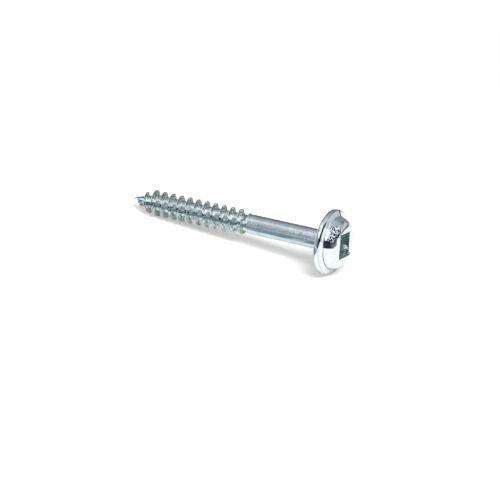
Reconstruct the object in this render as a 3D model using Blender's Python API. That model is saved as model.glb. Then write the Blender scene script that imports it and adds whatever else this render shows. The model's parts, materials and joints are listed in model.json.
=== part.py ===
"""Pocket hole screw: square drive washer head, plain shank and fine thread, lying as it comes to rest.

The screw is modelled upright, head up, with the flange's bearing face at z = 0 and the tip below. Depths are
measured down from that face. It is then laid on its rim and its thread, head towards +X, on the plane z = 0.
"""
import math

import bmesh
import bpy
from mathutils import Matrix, Vector

MM = 0.001

# Lengths down from the bearing face
LENGTH = 31.75 * MM            # bearing face to tip, the length the screw is sold by
PLAIN_SHANK = 12.2 * MM        # depth at which the thread leaves the plain shank
POINT_LENGTH = 3.7 * MM        # length of the cone that ends in the tip
NECK_LENGTH = 0.65 * MM        # depth of the cone under the flange

# Shank and thread
SHANK_DIAMETER = 2.77 * MM
ROOT_DIAMETER = 2.34 * MM      # core between the threads
CREST_DIAMETER = 3.70 * MM
PITCH = 1.411 * MM             # 18 turns to the inch, right-handed
CREST_WIDTH = 0.10 * MM        # flat on top of the thread
FLANK_ANGLE = math.radians(15.0)    # each flank, from square to the axis
RUN_IN = 2.0 * MM              # length over which the crest climbs out of the shank
NECK_DOWN = 1.2 * MM           # length over which the shank drops to the root
START_ANGLE = math.radians(-24.0)   # where on the shank the thread starts

# Point
POINT_TAPER = math.radians(26.5)    # the crest falls towards the tip on this half angle
POINT_CREST = 0.30 * MM        # crest radius where that fall would reach the tip
TIP_RADIUS = 0.14 * MM         # blunt end
THREAD_STOP = 0.40 * MM        # the thread ends this far short of the tip
RUN_OUT = 0.55 * MM            # the crest sinks into the core over this length

# Head
FLANGE_DIAMETER = 9.2 * MM
RIM_HEIGHT = 0.78 * MM         # thickness of the flange at its rim
RIM_ROUND = 0.20 * MM          # radius along both edges of the rim
LEDGE_WIDTH = 0.90 * MM        # flange outside the foot of the dome
LEDGE_SLOPE = math.radians(22.0)
DOME_RADIUS = 1.82 * MM        # of the arc from the ledge up to the land
HEAD_HEIGHT = 2.65 * MM        # bearing face to the flat land on top
LAND_DIAMETER = 4.54 * MM      # flat land that the drive opens in
NECK_DIAMETER = 4.8 * MM       # wide end of the cone under the flange

# Square drive
DRIVE_MOUTH = 3.05 * MM        # across flats under the chamfer
DRIVE_FOOT = 2.80 * MM         # across flats at full depth
DRIVE_DEPTH = 2.10 * MM
DRIVE_CHAMFER = 0.18 * MM
DRIVE_POINT = 0.55 * MM        # depth of the pyramid below the flats
DRIVE_ANGLE = math.radians(-7.9)

# Fineness of the round forms
TURN_FACETS = 32               # a multiple of four, so one facet of the rim faces straight down
STEPS_PER_TURN = 32
DOME_STEPS = 8
EDGE_STEPS = 3                 # in each rounded edge of the rim
BURY = 0.10 * MM               # how far the thread's ends and foot lie under the surface they join
CLEAR = 1.0 * MM               # how far the drive cutter stands out of the head

COLOUR = (0.70, 0.74, 0.78, 1.0)
ROUGHNESS = 0.22


def clear_scene():
    for item in list(bpy.data.objects):
        bpy.data.objects.remove(item, do_unlink=True)


def add_object(name, bm):
    bmesh.ops.recalc_face_normals(bm, faces=bm.faces)
    mesh = bpy.data.meshes.new(name)
    bm.to_mesh(mesh)
    bm.free()
    item = bpy.data.objects.new(name, mesh)
    bpy.context.collection.objects.link(item)
    return item


def zinc_plate():
    """Bright zinc plating over steel."""
    material = bpy.data.materials.new("bright_zinc")
    material.use_nodes = True
    shader = material.node_tree.nodes["Principled BSDF"]
    shader.inputs["Base Color"].default_value = COLOUR
    shader.inputs["Metallic"].default_value = 1.0
    shader.inputs["Roughness"].default_value = ROUGHNESS
    return material


def core_radius(depth):
    """Radius of the turned core under the thread, from the shank down to the tip."""
    shank = SHANK_DIAMETER / 2
    root = ROOT_DIAMETER / 2
    cone_top = LENGTH - POINT_LENGTH
    if depth < PLAIN_SHANK + NECK_DOWN:
        share = max(0.0, depth - PLAIN_SHANK) / NECK_DOWN
        return shank + (root - shank) * share
    share = max(0.0, depth - cone_top) / POINT_LENGTH
    return root + (TIP_RADIUS - root) * min(1.0, share)


def crest_radius(depth):
    """Radius of the thread's crest: it climbs out of the shank, runs full and falls to the tip."""
    full = CREST_DIAMETER / 2
    start = SHANK_DIAMETER / 2 - BURY
    climbing = start + (full - start) * (depth - PLAIN_SHANK + BURY) / RUN_IN
    falling = POINT_CREST + (LENGTH - depth) * math.tan(POINT_TAPER)
    crest = min(full, climbing, falling)
    fade = min(1.0, (LENGTH - THREAD_STOP - depth) / RUN_OUT)
    sunk = core_radius(depth) / 2
    return sunk + (crest - sunk) * max(0.0, fade)


def arc_points(centre, radius, first, last, steps):
    """Points along an arc of the half section, both ends included."""
    points = []
    for step in range(steps + 1):
        angle = first + (last - first) * step / steps
        points.append((centre.x + radius * math.cos(angle), centre.y + radius * math.sin(angle)))
    return points


def dome_outline():
    """Dome from the edge of the land to its foot on the ledge, one arc, as (radius, height)."""
    land = Vector((LAND_DIAMETER / 2, HEAD_HEIGHT))
    rim_top = Vector(rim_outline()[0])
    foot_radius = FLANGE_DIAMETER / 2 - LEDGE_WIDTH
    foot = Vector((foot_radius, rim_top.y + (rim_top.x - foot_radius) * math.tan(LEDGE_SLOPE)))
    chord = foot - land
    inward = Vector((chord.y, -chord.x)).normalized()
    centre = (land + foot) / 2 + inward * math.sqrt(DOME_RADIUS ** 2 - chord.length_squared / 4)
    first = math.atan2(land.y - centre.y, land.x - centre.x)
    last = math.atan2(foot.y - centre.y, foot.x - centre.x)
    return arc_points(centre, DOME_RADIUS, first, last, DOME_STEPS)


def rim_outline():
    """Rim with both edges rounded, from the sloping ledge round to the bearing face."""
    middle = FLANGE_DIAMETER / 2 - RIM_ROUND
    upper = Vector((middle, RIM_HEIGHT - RIM_ROUND))
    lower = Vector((middle, RIM_ROUND))
    points = arc_points(upper, RIM_ROUND, math.pi / 2 - LEDGE_SLOPE, 0.0, EDGE_STEPS)
    return points + arc_points(lower, RIM_ROUND, 0.0, -math.pi / 2, EDGE_STEPS)


def turned_outline():
    """Half section of the screw without its thread, from the land to the tip, as (radius, height)."""
    outline = [(0.0, HEAD_HEIGHT)]
    outline += dome_outline()
    outline += rim_outline()
    outline += [(NECK_DIAMETER / 2, 0.0), (SHANK_DIAMETER / 2, -NECK_LENGTH)]
    for depth in (PLAIN_SHANK, PLAIN_SHANK + NECK_DOWN, LENGTH - POINT_LENGTH):
        outline.append((core_radius(depth), -depth))
    outline += [(TIP_RADIUS, TIP_RADIUS - LENGTH), (0.0, -LENGTH)]
    return outline


def turned_body():
    """Head, shank and core, spun from the half section. The flats keep the true radius, and one faces +X."""
    bm = bmesh.new()
    side = math.tan(math.pi / TURN_FACETS)
    verts = [bm.verts.new((radius, radius * side, height)) for radius, height in turned_outline()]
    edges = [bm.edges.new(pair) for pair in zip(verts, verts[1:])]
    bmesh.ops.spin(
        bm, geom=verts + edges, cent=(0, 0, 0), axis=(0, 0, 1),
        angle=math.tau, steps=TURN_FACETS, use_merge=True,
    )
    bmesh.ops.remove_doubles(bm, verts=bm.verts, dist=0.001 * MM)
    return add_object("pocket_screw", bm)


def thread_section(depth):
    """Four corners of the thread as (radius, height): upper foot, upper crest, lower crest, lower foot."""
    crest = crest_radius(depth)
    foot = core_radius(depth) / 2
    half_crest = CREST_WIDTH / 2
    half_foot = half_crest + max(0.0, crest - foot) * math.tan(FLANK_ANGLE)
    return [
        (foot, half_foot - depth),
        (crest, half_crest - depth),
        (crest, -half_crest - depth),
        (foot, -half_foot - depth),
    ]


def helical_thread():
    """Right-handed thread as one closed ridge, its foot and both ends inside the core."""
    bm = bmesh.new()
    start = PLAIN_SHANK - BURY
    run = LENGTH - THREAD_STOP - start
    steps = math.ceil(run / PITCH * STEPS_PER_TURN)
    rings = []
    for step in range(steps + 1):
        down = PITCH * step / STEPS_PER_TURN
        angle = START_ANGLE - math.tau * step / STEPS_PER_TURN
        ring = []
        for radius, height in thread_section(start + down):
            ring.append(bm.verts.new((radius * math.cos(angle), radius * math.sin(angle), height)))
        rings.append(ring)
    for upper, lower in zip(rings, rings[1:]):
        for corner in range(4):
            after = (corner + 1) % 4
            bm.faces.new((upper[corner], upper[after], lower[after], lower[corner]))
    bm.faces.new(rings[0])
    bm.faces.new(rings[-1])
    return add_object("thread_guide", bm)


def drive_cutter():
    """Tapered square drive with a chamfered mouth and a pyramid at its foot."""
    bm = bmesh.new()
    levels = [
        (DRIVE_MOUTH / 2 + DRIVE_CHAMFER + CLEAR, HEAD_HEIGHT + CLEAR),
        (DRIVE_MOUTH / 2, HEAD_HEIGHT - DRIVE_CHAMFER),
        (DRIVE_FOOT / 2, HEAD_HEIGHT - DRIVE_DEPTH),
    ]
    rings = []
    for half, height in levels:
        ring = []
        for corner in range(4):
            angle = DRIVE_ANGLE + math.pi / 4 + corner * math.pi / 2
            reach = half * math.sqrt(2)
            ring.append(bm.verts.new((reach * math.cos(angle), reach * math.sin(angle), height)))
        rings.append(ring)
    point = bm.verts.new((0, 0, HEAD_HEIGHT - DRIVE_DEPTH - DRIVE_POINT))
    bm.faces.new(rings[0])
    for corner in range(4):
        after = (corner + 1) % 4
        for upper, lower in zip(rings, rings[1:]):
            bm.faces.new((upper[corner], upper[after], lower[after], lower[corner]))
        bm.faces.new((rings[-1][corner], rings[-1][after], point))
    return add_object("drive_guide", bm)


def add_boolean(target, guide, operation):
    modifier = target.modifiers.new(guide.name, "BOOLEAN")
    modifier.operation = operation
    modifier.solver = "EXACT"
    modifier.object = guide
    guide.hide_render = True
    guide.display_type = "WIRE"


def resting_tilt(points):
    """Slope at which rim and thread both touch a level floor, found by laying it down again and again."""
    head = [p for p in points if p.z > -NECK_LENGTH]
    thread = [p for p in points if p.z < -PLAIN_SHANK]
    tilt = 0.0
    for _ in range(12):
        sin_tilt = math.sin(tilt)
        cos_tilt = math.cos(tilt)
        rim = max(head, key=lambda p: p.x * cos_tilt - p.z * sin_tilt)
        crest = max(thread, key=lambda p: p.x * cos_tilt - p.z * sin_tilt)
        tilt = math.atan2(rim.x - crest.x, rim.z - crest.z)
    return tilt


def lay_down(screw, parts):
    """Turns the screw's axis towards +X and rests it on z = 0, centred on the origin."""
    points = [vertex.co.copy() for part in parts for vertex in part.data.vertices]
    turn = Matrix.Rotation(math.pi / 2 - resting_tilt(points), 4, "Y")
    laid = [turn @ point for point in points]
    low = Vector([min(point[axis] for point in laid) for axis in range(3)])
    high = Vector([max(point[axis] for point in laid) for axis in range(3)])
    middle = (low + high) / 2
    screw.matrix_world = Matrix.Translation((-middle.x, -middle.y, -low.z)) @ turn


def build_screw():
    screw = turned_body()
    thread = helical_thread()
    drive = drive_cutter()
    add_boolean(screw, thread, "UNION")
    add_boolean(screw, drive, "DIFFERENCE")
    lay_down(screw, (screw, thread))
    for guide in (thread, drive):
        guide.matrix_world = screw.matrix_world
    screw.data.materials.append(zinc_plate())
    screw.data.shade_smooth()
    screw.data.set_sharp_from_angle(angle=math.radians(25.0))


clear_scene()
build_screw()
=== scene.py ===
import json
import math
import random

import bmesh
import bpy
from mathutils import Matrix, Vector, kdtree, noise


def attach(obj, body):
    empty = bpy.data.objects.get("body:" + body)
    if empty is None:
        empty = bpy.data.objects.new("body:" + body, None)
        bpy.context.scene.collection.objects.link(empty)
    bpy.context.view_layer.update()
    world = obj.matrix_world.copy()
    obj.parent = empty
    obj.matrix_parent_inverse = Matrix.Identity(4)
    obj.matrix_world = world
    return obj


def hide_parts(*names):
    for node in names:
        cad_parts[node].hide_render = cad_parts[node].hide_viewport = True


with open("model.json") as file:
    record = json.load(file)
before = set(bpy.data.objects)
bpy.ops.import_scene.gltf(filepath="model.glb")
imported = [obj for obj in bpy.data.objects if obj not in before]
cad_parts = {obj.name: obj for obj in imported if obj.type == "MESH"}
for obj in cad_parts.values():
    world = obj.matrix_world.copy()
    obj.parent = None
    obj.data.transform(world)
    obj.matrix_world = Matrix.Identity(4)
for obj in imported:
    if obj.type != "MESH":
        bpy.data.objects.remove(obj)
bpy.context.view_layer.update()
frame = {"record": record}
print("frame loaded")

mm = 0.001
stepsPerTurn = 144      # facets round the screw, and steps in one turn of the thread
weldDistance = 0.0005 * mm
headSlot, shankSlot, threadSlot, socketSlot = range(4)     # in the order of the finishes

# The screw is modelled upright, bearing face at z = 0 and tip down,
# then laid where its bearing face is in the frame.
placing = {
    "mountReach": 3.4 * mm,      # from the axis up to the mount's point on the bearing face
}

bearingMount = next(m for m in frame["record"]["mounts"] if m["name"] == "bearing_face")
headwards = -Vector(bearingMount["axis"]).normalized()
sideways = Vector((0.0, 1.0, 0.0))
downwards = sideways.cross(headwards)
bearingCentre = Vector(bearingMount["pos_m"]) + downwards * placing["mountReach"]
screwTurn = Matrix((downwards, sideways, headwards)).transposed().to_4x4()
screwPlace = Matrix.Translation(bearingCentre) @ screwTurn

headForm = {
    "flangeRadius": 4.59 * mm,
    "rimHeight": 0.775 * mm,
    "rimRound": 0.20 * mm,       # along both edges of the rim
    "rimSteps": 7,
    "sideSteps": 3,
    "sideBulge": 0.03 * mm,
    "ledgeWidth": 0.89 * mm,     # flange outside the foot of the dome
    "ledgeSlope": math.radians(22),
    "ledgeSteps": 6,
    "footRound": 0.16 * mm,      # hollow where the dome meets the ledge
    "height": 2.65 * mm,
    "domeRadius": 1.82 * mm,
    "domeSteps": 30,
    "landRadius": 2.27 * mm,
    "landRound": 0.12 * mm,      # soft edge of the flat land
    "landRings": (0.0, 0.5, 0.96),
    "neckRadius": 2.4 * mm,
    "neckLength": 0.65 * mm,
    "neckRound": 0.10 * mm,
    "shoulderRound": 0.5 * mm,   # where the neck's cone meets the shank
    "coneSteps": 3,
    "bearingSteps": 6,
    "filletSteps": 5,
}

threadForm = {
    "shankRadius": 1.385 * mm,
    "plainLength": 12.2 * mm,    # depth at which the thread leaves the plain shank
    "shankRings": 32,
    "rootRadius": 1.17 * mm,
    "crestRadius": 1.84 * mm,
    "pitch": 1.411 * mm,
    "crestWidth": 0.10 * mm,
    "flankAngle": math.radians(15),
    "startDepth": 12.1 * mm,
    "startAngle": math.radians(-24),
    "startSink": 0.10 * mm,      # how far under the shank's surface the crest starts
    "runIn": 2.0 * mm,
    "dropLength": 1.2 * mm,      # from the shank down to the root
    "rootFillet": 0.05 * mm,
    "rootHollow": 0.26 * mm,     # radius of the hollow on each side of the ridge
    "topDepth": 11.4 * mm,       # where the helical part of the mesh begins
    "threadTop": 12.5 * mm,      # where the thread's finish takes over from the shank's
    "blendLength": 0.35 * mm,
    "length": 31.75 * mm,
    "pointLength": 3.7 * mm,
    "pointTaper": math.radians(26.5),
    "pointCrest": 0.30 * mm,
    "tipRadius": 0.14 * mm,
    "tipSteps": 5,
    "endGap": 0.40 * mm,         # the thread ends this far short of the tip
    "runOut": 0.55 * mm,
    "flankRows": (0.0, 0.09, 0.2, 0.36, 0.56, 0.76, 0.9, 1.0),    # shares of the ridge's half width
    "footRows": (0.03 * mm, 0.07 * mm, 0.12 * mm, 0.18 * mm, 0.25 * mm),     # beyond the ridge
    "leastHeight": 0.02 * mm,    # the ridge's, where its rows are set out
}

driveForm = {
    "mouth": 3.05 * mm,
    "foot": 2.80 * mm,
    "depth": 2.10 * mm,
    "chamfer": 0.24 * mm,
    "cornerRound": 0.16 * mm,
    "cornerSteps": 6,
    "floorRound": 0.12 * mm,
    "flareShare": 2,             # how many times rounder the corners are above the mouth
    "bendShare": 0.3,            # middle of the floor's rounded edge, as a share of its radius
    "pointDepth": 0.55 * mm,     # of the hollow point under the foot
    "pointWidth": 0.1,           # half width of its end, as a share of the foot
    "pointFall": 0.85,           # share of its depth that is cut
    "pointRound": 0.5,           # corner rounding at its end, as a share of the recess's own
    "turn": math.radians(-7.9),
    "clear": 1.0 * mm,           # how far the cutter stands out of the head
}


def smoothStep(low, high, value):
    share = min(1.0, max(0.0, (value - low) / (high - low)))
    return share * share * (3 - 2 * share)


def lerp(first, second, share):
    return first + (second - first) * share


def filletArc(corner, towardsIn, towardsOut, radius, steps):
    # arc that touches both runs at a corner; also says how far from the corner it starts
    inward = towardsIn.normalized()
    outward = towardsOut.normalized()
    half = inward.angle(outward) / 2
    reach = radius / math.tan(half)
    centre = corner + (inward + outward).normalized() * (radius / math.sin(half))
    start = corner + inward * reach - centre
    end = corner + outward * reach - centre
    return [centre + radius * start.slerp(end, step / steps) for step in range(steps + 1)], reach


def straightRun(first, last, steps):
    return [first.lerp(last, step / steps) for step in range(1, steps)]


def rimOutline(form):
    # both edges rounded, the side between them slightly barrelled
    radius = form["rimRound"]
    steps = form["rimSteps"]
    middle = form["flangeRadius"] - radius
    upper = form["rimHeight"] - radius
    outline = []
    for step in range(steps + 1):
        angle = lerp(math.pi / 2 - form["ledgeSlope"], 0.0, step / steps)
        height = upper + radius * math.sin(angle)
        outline.append(Vector((middle + radius * math.cos(angle), height)))
    for step in range(1, form["sideSteps"] + 1):
        height = lerp(upper, radius, step / (form["sideSteps"] + 1))
        outline.append(Vector((form["flangeRadius"], height)))
    for step in range(steps + 1):
        angle = lerp(0.0, -math.pi / 2, step / steps)
        height = radius * (1 + math.sin(angle))
        outline.append(Vector((middle + radius * math.cos(angle), height)))
    half = form["rimHeight"] / 2
    for point in outline:
        if point.x > middle:
            point.x -= form["sideBulge"] * ((point.y - half) / half) ** 2
    return outline


def headOutline(form, shankRadius):
    # half section as (radius, height), from the middle of the land to the foot of the neck
    rim = rimOutline(form)
    footRadius = form["flangeRadius"] - form["ledgeWidth"]
    foot = Vector((footRadius, rim[0].y + (rim[0].x - footRadius) * math.tan(form["ledgeSlope"])))
    land = Vector((form["landRadius"], form["height"]))
    chord = foot - land
    domeRadius = form["domeRadius"]
    inwards = Vector((chord.y, -chord.x)).normalized()
    middle = (land + foot) / 2 + inwards * math.sqrt(domeRadius ** 2 - chord.length_squared / 4)
    domeFirst = math.atan2(land.y - middle.y, land.x - middle.x)
    domeLast = math.atan2(foot.y - middle.y, foot.x - middle.x)
    tangentTop = Vector((math.sin(domeFirst), -math.cos(domeFirst)))
    tangentFoot = Vector((math.sin(domeLast), -math.cos(domeLast)))
    alongLedge = Vector((math.cos(form["ledgeSlope"]), -math.sin(form["ledgeSlope"])))
    steps = form["filletSteps"]
    towardsAxis = Vector((-1.0, 0.0))

    landArc, landReach = filletArc(land, towardsAxis, tangentTop, form["landRound"], steps)
    footArc, footReach = filletArc(foot, -tangentFoot, alongLedge, form["footRound"], steps)
    outline = [Vector((landArc[0].x * share, form["height"])) for share in form["landRings"]]
    outline += landArc
    first = domeFirst - landReach / domeRadius
    last = domeLast + footReach / domeRadius
    for step in range(1, form["domeSteps"]):
        angle = lerp(first, last, step / form["domeSteps"])
        outline.append(middle + domeRadius * Vector((math.cos(angle), math.sin(angle))))
    outline += footArc
    outline += straightRun(footArc[-1], rim[0], form["ledgeSteps"])
    outline += rim

    neck = Vector((form["neckRadius"], 0.0))
    shoulder = Vector((shankRadius, -form["neckLength"]))
    neckArc, _ = filletArc(neck, -towardsAxis, shoulder - neck, form["neckRound"], steps)
    downShank = Vector((0.0, -1.0))
    shoulderArc, _ = filletArc(shoulder, neck - shoulder, downShank, form["shoulderRound"], steps)
    outline += straightRun(outline[-1], neckArc[0], form["bearingSteps"])
    outline += neckArc
    outline += straightRun(neckArc[-1], shoulderArc[0], form["coneSteps"])
    outline += shoulderArc
    return outline


def coreRadius(form, depth):
    # shank, root and point, without the ridge
    if depth < form["plainLength"] + form["dropLength"]:
        share = smoothStep(form["plainLength"], form["plainLength"] + form["dropLength"], depth)
        return lerp(form["shankRadius"], form["rootRadius"], share)
    coneTop = form["length"] - form["pointLength"]
    share = max(0.0, depth - coneTop) / form["pointLength"]
    return lerp(form["rootRadius"], form["tipRadius"], min(1.0, share))


def crestRadius(form, depth):
    # the crest climbs out of the shank, runs full and falls to the tip
    start = form["shankRadius"] - form["startSink"]
    climbing = start + (form["crestRadius"] - start) * (depth - form["startDepth"]) / form["runIn"]
    falling = form["pointCrest"] + (form["length"] - depth) * math.tan(form["pointTaper"])
    crest = min(form["crestRadius"], climbing, falling)
    fade = min(1.0, (form["length"] - form["endGap"] - depth) / form["runOut"])
    sunk = coreRadius(form, depth) / 2
    return lerp(sunk, crest, max(0.0, fade))


def threadRadius(form, middle, offset, depth):
    # surface at one depth, given where the ridge's middle is at this angle
    core = coreRadius(form, depth)
    slope = math.tan(form["flankAngle"])
    soft = form["crestWidth"] / 2 / slope
    ridge = crestRadius(form, middle) + soft - math.hypot(offset / slope, soft)
    gap = abs(offset) - form["crestWidth"] / 2 - max(0.0, crestRadius(form, middle) - core) * slope
    hollow = form["rootHollow"]
    if gap < hollow and ridge > core - hollow:
        inside = hollow - max(0.0, gap)
        rise = min(hollow, max(0.0, crestRadius(form, middle) - core) / 2)
        core += rise * (1 - math.sqrt(max(0.0, 1 - (inside / hollow) ** 2)))
    over = ridge - core
    joined = core + (over + math.hypot(over, form["rootFillet"])) / 2
    last = form["length"] - form["tipRadius"]
    share = smoothStep(form["topDepth"], form["topDepth"] + form["blendLength"], depth)
    share *= smoothStep(last, last - form["blendLength"], depth)
    return lerp(core, joined, share)


def rowOffsets(form, middle):
    # rows across one pitch, close together where the ridge bends
    slope = math.tan(form["flankAngle"])
    height = max(form["leastHeight"], crestRadius(form, middle) - coreRadius(form, middle))
    half = form["crestWidth"] / 2 + height * slope
    side = [half * share for share in form["flankRows"]]
    side += [half + extra for extra in form["footRows"]]
    side += [lerp(side[-1], form["pitch"] / 2, 0.5), form["pitch"] / 2]
    return [-value for value in reversed(side[1:])] + side


def addTurned(bm, outline, form):
    # rings of the turned part; the last ring is where the helical part begins
    rings = []
    for point in outline:
        ring = []
        for step in range(stepsPerTurn):
            angle = form["startAngle"] - math.tau * step / stepsPerTurn
            across = (point.x * math.cos(angle), point.x * math.sin(angle))
            ring.append(bm.verts.new((*across, point.y)))
        rings.append(ring)
    for upper, lower in zip(rings, rings[1:]):
        for step in range(stepsPerTurn):
            after = (step + 1) % stepsPerTurn
            bm.faces.new((upper[step], upper[after], lower[after], lower[step]))


def addThread(bm, form):
    last = form["length"] - form["tipRadius"]
    perStep = form["pitch"] / stepsPerTurn
    firstStep = math.floor((form["topDepth"] - form["pitch"] / 2 - form["startDepth"]) / perStep)
    lastStep = math.ceil((last + form["pitch"] / 2 - form["startDepth"]) / perStep)
    before = None
    for step in range(firstStep, lastStep + 1):
        angle = form["startAngle"] - math.tau * step / stepsPerTurn
        middle = form["startDepth"] + perStep * step
        row = []
        for offset in rowOffsets(form, middle):
            depth = min(last, max(form["topDepth"], middle + offset))
            radius = threadRadius(form, middle, depth - middle, depth)
            row.append(bm.verts.new((radius * math.cos(angle), radius * math.sin(angle), -depth)))
        if before:
            for near, far in zip(range(len(row)), range(1, len(row))):
                bm.faces.new((before[near], row[near], row[far], before[far]))
        before = row


def addTip(bm, form):
    capRadius = coreRadius(form, form["length"] - form["tipRadius"])
    outline = []
    for step in range(form["tipSteps"] + 1):
        angle = math.pi / 2 * step / form["tipSteps"]
        depth = form["length"] - form["tipRadius"] * (1 - math.sin(angle))
        outline.append(Vector((capRadius * math.cos(angle), -depth)))
    addTurned(bm, outline, form)


def paintZones(bm, form):
    # finishes by place: head, shank, thread
    for face in bm.faces:
        middle = face.calc_center_median()
        reach = math.hypot(middle.x, middle.y)
        if middle.z > -headForm["neckLength"]:
            face.material_index = headSlot
        elif middle.z > -form["threadTop"] and reach < form["shankRadius"] + form["rootFillet"] / 2:
            face.material_index = shankSlot
        else:
            face.material_index = threadSlot


def buildScrewMesh():
    bm = bmesh.new()
    outline = headOutline(headForm, threadForm["shankRadius"])
    shankFoot = Vector((threadForm["shankRadius"], -threadForm["topDepth"]))
    outline += straightRun(outline[-1], shankFoot, threadForm["shankRings"]) + [shankFoot]
    addTurned(bm, outline, threadForm)
    addThread(bm, threadForm)
    addTip(bm, threadForm)
    bmesh.ops.remove_doubles(bm, verts=bm.verts, dist=weldDistance)
    bmesh.ops.dissolve_degenerate(bm, edges=bm.edges, dist=weldDistance)
    bmesh.ops.recalc_face_normals(bm, faces=bm.faces)
    paintZones(bm, threadForm)
    mesh = bpy.data.meshes.new("pocketHoleScrew")
    bm.to_mesh(mesh)
    openEdges = sum(1 for edge in bm.edges if not edge.is_manifold)
    print("screw mesh:", len(bm.verts), "points,", len(bm.faces), "faces,", openEdges, "open edges")
    bm.free()
    return mesh


def roundedSquare(half, corner, steps):
    points = []
    for quarter in range(4):
        facing = math.pi / 2 * quarter
        reach = half - corner
        middle = Vector((reach, reach))
        middle.rotate(Matrix.Rotation(facing, 2))
        for step in range(steps + 1):
            angle = facing + math.pi / 2 * step / steps
            points.append(middle + corner * Vector((math.cos(angle), math.sin(angle))))
    return points


def buildDriveCutter():
    form = driveForm
    top = headForm["height"]
    floor = top - form["depth"]
    mouth = form["mouth"] / 2
    foot = form["foot"] / 2
    corner = form["cornerRound"]
    bend = form["floorRound"] * form["bendShare"]
    end = floor - form["pointDepth"] * form["pointFall"]
    levels = [
        # half width, height, corner rounding
        (mouth + form["chamfer"] + form["clear"], top + form["clear"], corner * form["flareShare"]),
        (mouth, top - form["chamfer"], corner),
        (foot, floor + form["floorRound"], corner),
        (foot - bend, floor + bend, corner),
        (foot - form["floorRound"], floor, corner),
        (form["foot"] * form["pointWidth"], end, corner * form["pointRound"]),
    ]
    bm = bmesh.new()
    rings = []
    for half, height, rounding in levels:
        ring = []
        for point in roundedSquare(half, rounding, form["cornerSteps"]):
            point.rotate(Matrix.Rotation(form["turn"], 2))
            ring.append(bm.verts.new((point.x, point.y, height)))
        rings.append(ring)
    count = len(rings[0])
    for upper, lower in zip(rings, rings[1:]):
        for step in range(count):
            after = (step + 1) % count
            wall = bm.faces.new((upper[step], upper[after], lower[after], lower[step]))
            wall.material_index = headSlot if upper is rings[0] else socketSlot
    bm.faces.new(rings[0])
    bm.faces.new(rings[-1]).material_index = socketSlot
    bmesh.ops.recalc_face_normals(bm, faces=bm.faces)
    mesh = bpy.data.meshes.new("driveCutter")
    bm.to_mesh(mesh)
    bm.free()
    return mesh


def addObject(name, mesh):
    item = bpy.data.objects.new(name, mesh)
    bpy.context.scene.collection.objects.link(item)
    return item


def cutDrive(screw):
    cutter = addObject("driveCutter", buildDriveCutter())
    cut = screw.modifiers.new("drive", "BOOLEAN")
    cut.operation = "DIFFERENCE"
    cut.solver = "EXACT"
    cut.material_mode = "INDEX"
    cut.object = cutter
    bpy.context.view_layer.update()
    evaluated = screw.evaluated_get(bpy.context.evaluated_depsgraph_get())
    mesh = bpy.data.meshes.new_from_object(evaluated)
    screw.modifiers.clear()
    old = screw.data
    screw.data = mesh
    bpy.data.meshes.remove(old)
    bpy.data.objects.remove(cutter)
    print("drive cut:", len(mesh.polygons), "faces")


# Places and sizes are millimetres along the screw's own axes:
# z runs up the axis from the bearing face, x points down and y sideways.
finishes = {
    "headZinc": {
        "pale": (0.85, 0.94, 0.955, 1.0),
        "deep": (0.75, 0.87, 0.89, 1.0),
        "patchSize": 0.7,
        "gloss": (0.04, 0.09),       # roughness, least and most
        # dark lines painted on the head: painted shade in the hollow at the dome's foot, painted
        # reflection along the rim's edge
        "paintedShadeAndReflectionLines": (
            # from the axis, height, near, far, tone, middle of its arc, the arc's reach
            (3.70, 1.08, 0.03, 0.11, (0.20, 0.23, 0.27, 1.0), (2.62, -2.62, 1.08), 4.6),
            (4.46, 0.76, 0.02, 0.08, (0.50, 0.54, 0.58, 1.0), (0.0, 0.0, 0.0), 50.0),
            (4.44, 0.76, 0.09, 0.20, (0.012, 0.018, 0.06, 1.0), (-2.87, -3.42, 0.76), 2.1),
        ),
        # dark flecks painted in the dome's highlight and at the top of its dark band: painted
        # reflection
        "paintedReflectionFlecks": (
            # place, reach, size of one fleck, tone
            ((-2.55, -1.88, 2.10), 1.10, 0.20, (0.008, 0.016, 0.07, 1.0)),
            ((-1.90, -2.68, 2.05), 0.75, 0.20, (0.008, 0.016, 0.07, 1.0)),
        ),
        "scuffs": (
            # place, reach, size of one dent, depth
            ((-2.50, -1.80, 2.15), 0.55, 0.24, 0.020),
            ((-1.88, -2.75, 1.85), 0.60, 0.30, 0.050),
        ),
        "ringSize": 0.045,           # turned rings, millimetres apart
        "ringDepth": 0.0011,
        "grainSize": 0.10,
        "grainLength": 0.10,
        "grainDepth": 0.0012,
        "pitSize": 0.22,
        "pitDepth": 0.004,
    },
    "shankZinc": {
        "pale": (0.84, 0.92, 0.95, 1.0),
        "deep": (0.72, 0.81, 0.84, 1.0),
        "patchSize": 1.2,
        "gloss": (0.10, 0.20),
        "ringSize": 0.09,
        "ringDepth": 0.0016,
        "grainSize": 0.12,
        "grainLength": 1.6,
        "grainDepth": 0.006,
        "pitSize": 0.30,
        "pitDepth": 0.010,
    },
    "threadZinc": {
        "pale": (0.97, 1.0, 1.0, 1.0),
        "deep": (0.52, 0.65, 0.66, 1.0),
        "patchSize": 0.45,
        "gloss": (0.02, 0.06),
        "ringSize": 0.08,
        "ringDepth": 0.0012,
        "grainSize": 0.22,
        "grainLength": 0.3,
        "grainDepth": 0.008,
        "pitSize": 0.35,
        "pitDepth": 0.018,
    },
    "socketZinc": {
        # darker than the plating outside: painted shade inside the recess
        "pale": (0.66, 0.80, 0.78, 1.0),
        "deep": (0.38, 0.54, 0.54, 1.0),
        "patchSize": 0.7,
        "gloss": (0.16, 0.34),
        "ringSize": 0.2,
        "ringDepth": 0.001,
        # a pale, dull spot on the recess wall, a painted glint: place, near, far, tone, roughness
        "paintedGlint": ((1.12, 1.40, 1.80), 0.38, 0.52, (0.86, 0.98, 1.0, 1.0), 0.12),
        "scuffs": (((1.12, 1.38, 1.85), 0.46, 0.40, 1.0),),
        "grainSize": 0.06,
        "grainLength": 0.6,
        "grainDepth": 0.004,
        "pitSize": 0.3,
        "pitDepth": 0.006,
    },
}

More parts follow.
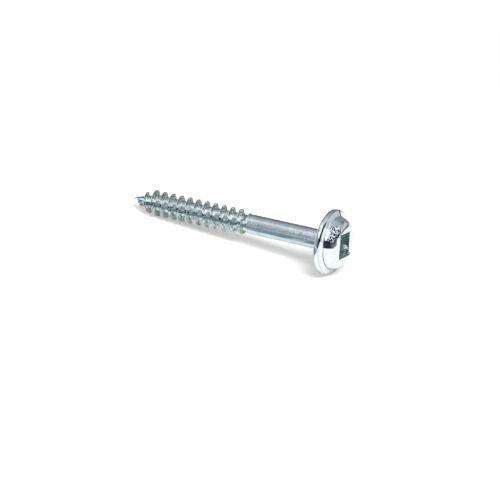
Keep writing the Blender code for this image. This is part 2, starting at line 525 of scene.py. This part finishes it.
patterns = {
    "roughness": 0.55,               # of every noise
    "wander": 0.02,                  # of the turned rings, round the axis
    "cloudDetail": 4.0,
    "ringDetail": 2.0,
    "grainDetail": 3.0,
    "pitDetail": 1.0,
    "fleckDetail": 2.0,
    "dentDetail": 1.0,
    "cloudEdges": (0.35, 0.65),      # noise values between which each pattern comes in
    "pitEdges": (0.28, 0.40),
    "fleckEdges": (0.45, 0.50),
    "dentEdges": (0.42, 0.60),
    "glossEdges": (0.7, 1.3),
    "lineCore": 0.5,                 # share of its reach in which a mark is full
    "fleckCore": 0.6,
    "dentCore": 0.55,
}


def newNode(tree, kind, values=None, **settings):
    node = tree.nodes.new(kind)
    for name, value in settings.items():
        setattr(node, name, value)
    for name, value in (values or {}).items():
        node.inputs[name].default_value = value
    return node


def combine(tree, operation, first, second):
    node = newNode(tree, "ShaderNodeMath", operation=operation)
    tree.links.new(first, node.inputs[0])
    tree.links.new(second, node.inputs[1])
    return node.outputs["Value"]


def layColour(tree, below, colour, share):
    # a colour over what is below it, which is a colour too or comes from another node
    mix = newNode(tree, "ShaderNodeMix", data_type="RGBA")
    mix.inputs["B"].default_value = colour
    if isinstance(below, tuple):
        mix.inputs["A"].default_value = below
    else:
        tree.links.new(below, mix.inputs["A"])
    tree.links.new(share, mix.inputs["Factor"])
    return mix.outputs["Result"]


def screwCoordinates(tree):
    # undoes the screw's place, so that marks follow its axis
    coordinates = newNode(tree, "ShaderNodeTexCoord")
    local = newNode(tree, "ShaderNodeMapping", vector_type="TEXTURE")
    local.inputs["Location"].default_value = screwPlace.to_translation()
    local.inputs["Rotation"].default_value = screwPlace.to_euler()
    local.inputs["Scale"].default_value = (mm, mm, mm)
    tree.links.new(coordinates.outputs["Object"], local.inputs["Vector"])
    return local.outputs["Vector"]


def evenly(size):
    return (1 / size, 1 / size, 1 / size)


def stretchedNoise(tree, vector, scales, detail):
    stretch = newNode(tree, "ShaderNodeVectorMath", operation="MULTIPLY")
    stretch.inputs[1].default_value = scales
    values = {"Scale": 1.0, "Detail": detail, "Roughness": patterns["roughness"]}
    texture = newNode(tree, "ShaderNodeTexNoise", values)
    tree.links.new(vector, stretch.inputs[0])
    tree.links.new(stretch.outputs["Vector"], texture.inputs["Vector"])
    return texture.outputs["Fac"]


def ringVector(tree, local):
    # distance from the axis and height: the same all the way round, but for a slow wander
    flat = newNode(tree, "ShaderNodeVectorMath", operation="MULTIPLY")
    flat.inputs[1].default_value = (1.0, 1.0, 0.0)
    reach = newNode(tree, "ShaderNodeVectorMath", operation="LENGTH")
    split = newNode(tree, "ShaderNodeSeparateXYZ")
    join = newNode(tree, "ShaderNodeCombineXYZ")
    wander = newNode(tree, "ShaderNodeMath", {1: patterns["wander"]}, operation="MULTIPLY")
    tree.links.new(local, flat.inputs[0])
    tree.links.new(flat.outputs["Vector"], reach.inputs[0])
    tree.links.new(local, split.inputs["Vector"])
    tree.links.new(split.outputs["Y"], wander.inputs[0])
    tree.links.new(reach.outputs["Value"], join.inputs["X"])
    tree.links.new(wander.outputs["Value"], join.inputs["Y"])
    tree.links.new(split.outputs["Z"], join.inputs["Z"])
    return join.outputs["Vector"]


def spread(tree, value, low, high, newLow=0.0, newHigh=1.0):
    node = newNode(tree, "ShaderNodeMapRange", interpolation_type="SMOOTHSTEP")
    node.inputs["From Min"].default_value = low
    node.inputs["From Max"].default_value = high
    node.inputs["To Min"].default_value = newLow
    node.inputs["To Max"].default_value = newHigh
    tree.links.new(value, node.inputs["Value"])
    return node.outputs["Result"]


def addBump(tree, height, depth, normal=None):
    bump = newNode(tree, "ShaderNodeBump", {"Strength": 1.0, "Distance": depth * mm})
    tree.links.new(height, bump.inputs["Height"])
    if normal:
        tree.links.new(normal, bump.inputs["Normal"])
    return bump.outputs["Normal"]


def nearness(tree, vector, place, near, far):
    # 1 within near of a place, 0 beyond far
    gap = newNode(tree, "ShaderNodeVectorMath", operation="DISTANCE")
    gap.inputs[1].default_value = place
    tree.links.new(vector, gap.inputs[0])
    return spread(tree, gap.outputs["Value"], far, near)


def zincFinish(name):
    # bright plating: clouded colour, uneven gloss, turned rings, drawn grain and small pits
    finish = finishes[name]
    material = bpy.data.materials.new(name)
    material.use_nodes = True
    tree = material.node_tree
    shader = tree.nodes["Principled BSDF"]
    shader.inputs["Metallic"].default_value = 1.0
    local = screwCoordinates(tree)
    perGrain = 1 / finish["grainSize"]
    grainScales = (perGrain, perGrain, 1 / finish["grainLength"])
    clouds = stretchedNoise(tree, local, evenly(finish["patchSize"]), patterns["cloudDetail"])
    turned = ringVector(tree, local)
    rings = stretchedNoise(tree, turned, evenly(finish["ringSize"]), patterns["ringDetail"])
    grain = stretchedNoise(tree, local, grainScales, patterns["grainDetail"])
    pits = stretchedNoise(tree, local, evenly(finish["pitSize"]), patterns["pitDetail"])
    pits = spread(tree, pits, *patterns["pitEdges"])

    clouded = spread(tree, clouds, *patterns["cloudEdges"])
    shown = layColour(tree, finish["pale"], finish["deep"], clouded)
    for reach, height, near, far, tone, middle, span in finish.get("paintedShadeAndReflectionLines", ()):
        # a dark line painted all the way round the head or part of it: painted shade in the hollow
        # at the dome's foot, painted reflection along the rim's edge
        section = newNode(tree, "ShaderNodeVectorMath", operation="MULTIPLY")
        section.inputs[1].default_value = (1.0, 0.0, 1.0)
        tree.links.new(turned, section.inputs[0])
        line = nearness(tree, section.outputs["Vector"], (reach, 0.0, height), near, far)
        arc = nearness(tree, local, middle, span * patterns["lineCore"], span)
        shown = layColour(tree, shown, tone, combine(tree, "MULTIPLY", line, arc))
    for place, reach, size, tone in finish.get("paintedReflectionFlecks", ()):
        # dark flecks painted over one patch: painted reflection
        specks = stretchedNoise(tree, local, evenly(size), patterns["fleckDetail"])
        specks = spread(tree, specks, *patterns["fleckEdges"])
        patch = nearness(tree, local, place, reach * patterns["fleckCore"], reach)
        shown = layColour(tree, shown, tone, combine(tree, "MULTIPLY", specks, patch))
    tree.links.new(shown, shader.inputs["Base Color"])

    uneven = newNode(tree, "ShaderNodeMath", operation="ADD")
    tree.links.new(rings, uneven.inputs[0])
    tree.links.new(clouds, uneven.inputs[1])
    gloss = spread(tree, uneven.outputs["Value"], *patterns["glossEdges"], *finish["gloss"])
    if "paintedGlint" in finish:
        # a pale spot that scatters light instead of mirroring it: a painted glint
        place, near, far, tone, rough = finish["paintedGlint"]
        share = nearness(tree, local, place, near, far)
        glintColour = layColour(tree, shown, tone, share)
        tree.links.new(glintColour, shader.inputs["Base Color"])
        dull = newNode(tree, "ShaderNodeMix", data_type="FLOAT")
        dull.inputs["B"].default_value = rough
        tree.links.new(share, dull.inputs["Factor"])
        tree.links.new(gloss, dull.inputs["A"])
        gloss = dull.outputs["Result"]
        glintMetallic = newNode(tree, "ShaderNodeMath", {1: -1.0, 2: 1.0}, operation="MULTIPLY_ADD")
        tree.links.new(share, glintMetallic.inputs[0])
        tree.links.new(glintMetallic.outputs["Value"], shader.inputs["Metallic"])
    tree.links.new(gloss, shader.inputs["Roughness"])

    normal = addBump(tree, rings, finish["ringDepth"])
    normal = addBump(tree, grain, finish["grainDepth"], normal)
    normal = addBump(tree, pits, finish["pitDepth"], normal)
    for place, reach, size, depth in finish.get("scuffs", ()):
        # a patch of small dents
        dents = stretchedNoise(tree, local, evenly(size), patterns["dentDetail"])
        dents = spread(tree, dents, *patterns["dentEdges"])
        patch = nearness(tree, local, place, reach * patterns["dentCore"], reach)
        normal = addBump(tree, combine(tree, "MULTIPLY", dents, patch), depth, normal)
    tree.links.new(normal, shader.inputs["Normal"])
    return material


surfaceWork = {
    "seed": 7,
    "shiftRange": (0, 50),       # where in the noise this screw's waves are taken
    "waveSize": 1.3 * mm,        # slow unevenness left by cold forming
    "waveDepth": 0.0025 * mm,
    "rippleSize": 0.45 * mm,
    "rippleDepth": 0.0008 * mm,
    "nicks": 46,
    "nickReach": (0.12 * mm, 0.34 * mm),
    "nickDepth": (0.004 * mm, 0.022 * mm),
    "sharpAngle": math.radians(32),
}


def workSurface(mesh):
    # slow waves and small nicks, so that reflections aren't ruled lines
    work = surfaceWork
    draw = random.Random(work["seed"])
    shift = Vector([draw.uniform(*work["shiftRange"]) for _ in range(3)])
    places = kdtree.KDTree(len(mesh.vertices))
    moves = [0.0] * len(mesh.vertices)
    normals = [vertex.normal.copy() for vertex in mesh.vertices]
    for vertex in mesh.vertices:
        places.insert(vertex.co, vertex.index)
        wave = noise.noise(vertex.co / work["waveSize"] + shift)
        ripple = noise.noise(vertex.co / work["rippleSize"] - shift)
        moves[vertex.index] = wave * work["waveDepth"] + ripple * work["rippleDepth"]
    places.balance()
    for _ in range(work["nicks"]):
        middle = mesh.vertices[draw.randrange(len(mesh.vertices))].co
        reach = draw.uniform(*work["nickReach"])
        depth = draw.uniform(*work["nickDepth"])
        for _, index, distance in places.find_range(middle, reach):
            moves[index] -= depth * (1 - smoothStep(0.0, reach, distance))
    for vertex, normal, move in zip(mesh.vertices, normals, moves):
        vertex.co += normal * move
    print("surface worked:", work["nicks"], "nicks")


def makeScrew():
    screw = addObject("pocketHoleScrew", buildScrewMesh())
    for name in finishes:
        screw.data.materials.append(zincFinish(name))
    cutDrive(screw)
    workSurface(screw.data)
    screw.data.shade_smooth()
    screw.data.set_sharp_from_angle(angle=surfaceWork["sharpAngle"])
    screw.data.transform(screwPlace)
    evenOut = screw.modifiers.new("flatFacesStayFlat", "WEIGHTED_NORMAL")
    evenOut.keep_sharp = True
    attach(screw, "root")
    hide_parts("pocket_screw")


# Boxes and walls that stand far off round the screw and show in its plating.
studio = {
    "low": (0.18, 0.19, 0.20, 1.0),      # near the horizon
    "high": (0.52, 0.55, 0.60, 1.0),     # overhead
    "fade": (0.42, 0.98),                # heights between which low turns to high
    "ahead": (0.0, 0.05),                # keeps a panel off the side of the sky behind it
    "panels": {
        # azimuth, elevation, half width, half height and soft edge in degrees, colour
        "leftWall": (-34, 16, 14, 28, 8, (0.37, 0.39, 0.42, 1.0)),
        "ceilingLight": (-62, 55, 12, 9, 9, (0.86, 0.88, 0.92, 1.0)),
        "rightWall": (130, 36, 17, 24, 10, (0.46, 0.49, 0.54, 1.0)),
        "rightGlow": (115, 3, 14, 9, 5, (0.56, 0.57, 0.60, 1.0)),
        "ledgeGlow": (111, 4, 9, 7, 3, (1.0, 1.02, 1.04, 1.0)),
        "backWall": (187, 24, 14, 22, 8, (0.29, 0.30, 0.32, 1.0)),
        "frontFade": (50, 6, 18, 16, 8, (0.055, 0.06, 0.09, 1.0)),
        "frontShade": (22, 10, 31, 22, 4, (0.026, 0.030, 0.070, 1.0)),
        "sideShade": (72, 16, 14, 15, 6, (0.16, 0.17, 0.20, 1.0)),
        "keyBox": (44, 60, 54, 23, 2, (1.3, 1.3, 1.3, 1.0)),
        "leftGlow": (-76, 10, 22, 14, 4, (1.0, 1.04, 1.05, 1.0)),
    },
    "white": (1.0, 1.0, 1.0, 1.0),       # what the camera sees past the sheet
}


def directionOf(azimuth, elevation):
    # azimuth 0 looks along +Y, as the camera's does
    turn = math.radians(azimuth)
    rise = math.radians(elevation)
    level = math.cos(rise)
    return Vector((math.sin(turn) * level, -math.cos(turn) * level, math.sin(rise)))


def reachAlong(tree, direction, axis):
    node = newNode(tree, "ShaderNodeVectorMath", operation="DOT_PRODUCT")
    node.inputs[1].default_value = axis
    tree.links.new(direction, node.inputs[0])
    return node.outputs["Value"]


def boxShare(tree, direction, azimuth, elevation, halfWidth, halfHeight, edge):
    # 1 inside a flat rectangle that faces the screw, 0 outside it
    facing = directionOf(azimuth, elevation)
    across = directionOf(azimuth + 90, 0)
    ahead = reachAlong(tree, direction, facing)
    share = spread(tree, ahead, *studio["ahead"])
    for axis, half in ((across, halfWidth), (across.cross(facing), halfHeight)):
        slope = combine(tree, "DIVIDE", reachAlong(tree, direction, axis), ahead)
        size = newNode(tree, "ShaderNodeMath", operation="ABSOLUTE")
        tree.links.new(slope, size.inputs[0])
        inner = math.tan(math.radians(half - edge / 2))
        outer = math.tan(math.radians(half + edge / 2))
        share = combine(tree, "MULTIPLY", share, spread(tree, size.outputs["Value"], outer, inner))
    return share


def makeWorld():
    world = bpy.data.worlds.new("studio")
    bpy.context.scene.world = world
    world.use_nodes = True
    tree = world.node_tree
    background = tree.nodes["Background"]
    coordinates = newNode(tree, "ShaderNodeTexCoord")
    direction = coordinates.outputs["Generated"]
    height = reachAlong(tree, direction, (0, 0, 1))
    seen = layColour(tree, studio["low"], studio["high"], spread(tree, height, *studio["fade"]))
    for *place, colour in studio["panels"].values():
        seen = layColour(tree, seen, colour, boxShare(tree, direction, *place))
    rays = newNode(tree, "ShaderNodeLightPath")
    seen = layColour(tree, seen, studio["white"], rays.outputs["Is Camera Ray"])
    tree.links.new(seen, background.inputs["Color"])


lamps = {
    # azimuth, elevation, distance, width, power in watts, seen in the plating
    "shadowLamp": (55.0, 57.0, 0.35, 0.18, 0.96, False),
}


def makeLamps():
    for name, (azimuth, elevation, distance, width, power, glossy) in lamps.items():
        data = bpy.data.lights.new(name, "AREA")
        data.shape = "DISK"
        data.size = width
        data.energy = power
        item = addObject(name, data)
        back = directionOf(azimuth, elevation)
        turn = back.to_track_quat("Z", "Y").to_matrix().to_4x4()
        item.matrix_world = Matrix.Translation(back * distance) @ turn
        item.visible_glossy = glossy


def addSheet(name, materialName, fromX, fromY, toX, toY, height):
    # a flat rectangle with a material of its own
    mesh = bpy.data.meshes.new(name)
    corners = ((fromX, fromY), (toX, fromY), (toX, toY), (fromX, toY))
    mesh.from_pydata([(x, y, height) for x, y in corners], [], [(0, 1, 2, 3)])
    material = bpy.data.materials.new(materialName)
    material.use_nodes = True
    mesh.materials.append(material)
    return addObject(name, mesh), material.node_tree


def showInPlatingAlone(card):
    card.visible_camera = False
    card.visible_diffuse = False
    card.visible_shadow = False


floorSheet = {
    "halfWidth": 0.075,
    "colour": (0.82, 0.785, 0.75, 1.0),
    "glow": 0.26,        # added for the camera alone, so that the sheet shows white
    "shine": 0.02,       # added for reflections
}


def makeFloor():
    half = floorSheet["halfWidth"]
    floor, tree = addSheet("floorSheet", "whiteSheet", -half, -half, half, half, 0)
    shader = tree.nodes["Principled BSDF"]
    shader.inputs["Base Color"].default_value = floorSheet["colour"]
    shader.inputs["Roughness"].default_value = 1.0
    shader.inputs["Specular IOR Level"].default_value = 0.0
    shader.inputs["Emission Color"].default_value = (1.0, 1.0, 1.0, 1.0)
    rays = newNode(tree, "ShaderNodeLightPath")
    glow = newNode(tree, "ShaderNodeMath", {1: floorSheet["glow"]}, operation="MULTIPLY")
    both = newNode(tree, "ShaderNodeMath", {1: floorSheet["shine"]}, operation="MULTIPLY_ADD")
    tree.links.new(rays.outputs["Is Camera Ray"], glow.inputs[0])
    tree.links.new(rays.outputs["Is Glossy Ray"], both.inputs[0])
    tree.links.new(glow.outputs["Value"], both.inputs[2])
    tree.links.new(both.outputs["Value"], shader.inputs["Emission Strength"])


# Grey cards that lie on the sheet: they show in the plating alone, as painted reflections of shaded
# floor, and give it its edges.
cards = {
    # from x, from y, to x, to y in millimetres, colour
    "frontCard": (-45, -34, 11, -3.6, (0.10, 0.16, 0.20, 1.0)),
    "threadCard": (-24, -3.6, -1.5, -2.3, (0.30, 0.35, 0.37, 1.0)),
    "backCard": (-45, 2.2, 12.5, 60, (0.25, 0.27, 0.26, 1.0)),
}
cardFinish = {
    "height": 0.2 * mm,      # clear of the sheet
    "roughness": 0.9,
    "streakColour": (0.42, 0.45, 0.44, 1.0),
    "streakScales": (180.0, 60.0, 60.0),
    "streakDetail": 2.0,
    "streakEdges": (0.50, 0.78),
}


def makeCards():
    for name, (fromX, fromY, toX, toY, colour) in cards.items():
        edges = (fromX * mm, fromY * mm, toX * mm, toY * mm)
        card, tree = addSheet(name, name, *edges, cardFinish["height"])
        shader = tree.nodes["Principled BSDF"]
        shader.inputs["Roughness"].default_value = cardFinish["roughness"]
        place = newNode(tree, "ShaderNodeTexCoord").outputs["Object"]
        scales = cardFinish["streakScales"]
        streaks = stretchedNoise(tree, place, scales, cardFinish["streakDetail"])
        streaks = spread(tree, streaks, *cardFinish["streakEdges"])
        # the dark card colour with lighter streaks: painted reflection of shaded floor
        shown = layColour(tree, colour, cardFinish["streakColour"], streaks)
        tree.links.new(shown, shader.inputs["Base Color"])
        showInPlatingAlone(card)


# Small glowing cards close to the screw, seen in the plating alone: painted reflections for the
# brightest bands in it.
glowingCards = {
    # middle in millimetres, azimuth and elevation that it faces, width, height, colour
    "headCard": ((21.2, 5.6, 9.3), 322, 0, 9.0, 2.6, (0.62, 0.62, 0.65, 1.0)),
    "shankCard": ((7.3, -2.0, 0.25), 0, 90, 11.4, 3.2, (0.77, 0.90, 0.94, 1.0)),
    "underCard": ((-8.2, 0.95, 0.2), 0, 90, 19.4, 1.5, (0.62, 0.68, 0.66, 1.0)),
}


def makeGlowingCards():
    for name, (middle, azimuth, elevation, width, height, colour) in glowingCards.items():
        across = width * mm / 2
        up = height * mm / 2
        card, tree = addSheet(name, name, -across, -up, across, up, 0)
        turn = directionOf(azimuth, elevation).to_track_quat("Z", "Y").to_matrix().to_4x4()
        card.matrix_world = Matrix.Translation(Vector(middle) * mm) @ turn
        shader = tree.nodes["Principled BSDF"]
        shader.inputs["Base Color"].default_value = (0.0, 0.0, 0.0, 1.0)
        shader.inputs["Specular IOR Level"].default_value = 0.0
        # the card glows with its colour though it is no lamp: a painted reflection
        shader.inputs["Emission Color"].default_value = colour
        shader.inputs["Emission Strength"].default_value = 1.0
        showInPlatingAlone(card)


viewpoint = {
    "azimuth": 27.896,
    "elevation": 27.376,
    "roll": 4.804,
    "distance": 306.0 * mm,
    "aim": Vector((2.764, -0.976, -0.163)) * mm,
    "lens": 156.479,
    "sensor": 36.0,
    "clipStart": 0.01,
    "clipEnd": 10.0,
}


def makeCamera():
    data = bpy.data.cameras.new("camera")
    data.lens = viewpoint["lens"]
    data.sensor_width = viewpoint["sensor"]
    data.clip_start = viewpoint["clipStart"]
    data.clip_end = viewpoint["clipEnd"]
    item = addObject("camera", data)
    back = directionOf(viewpoint["azimuth"], viewpoint["elevation"])
    roll = Matrix.Rotation(math.radians(viewpoint["roll"]), 3, "Z")
    turn = (-back).to_track_quat("-Z", "Y").to_matrix() @ roll
    middle = viewpoint["aim"] + back * viewpoint["distance"]
    item.matrix_world = Matrix.Translation(middle) @ turn.to_4x4()
    bpy.context.scene.camera = item


makeScrew()
makeWorld()
makeLamps()
makeFloor()
makeCards()
makeGlowingCards()
makeCamera()
bpy.context.scene.view_settings.view_transform = "Standard"
print("studio ready")
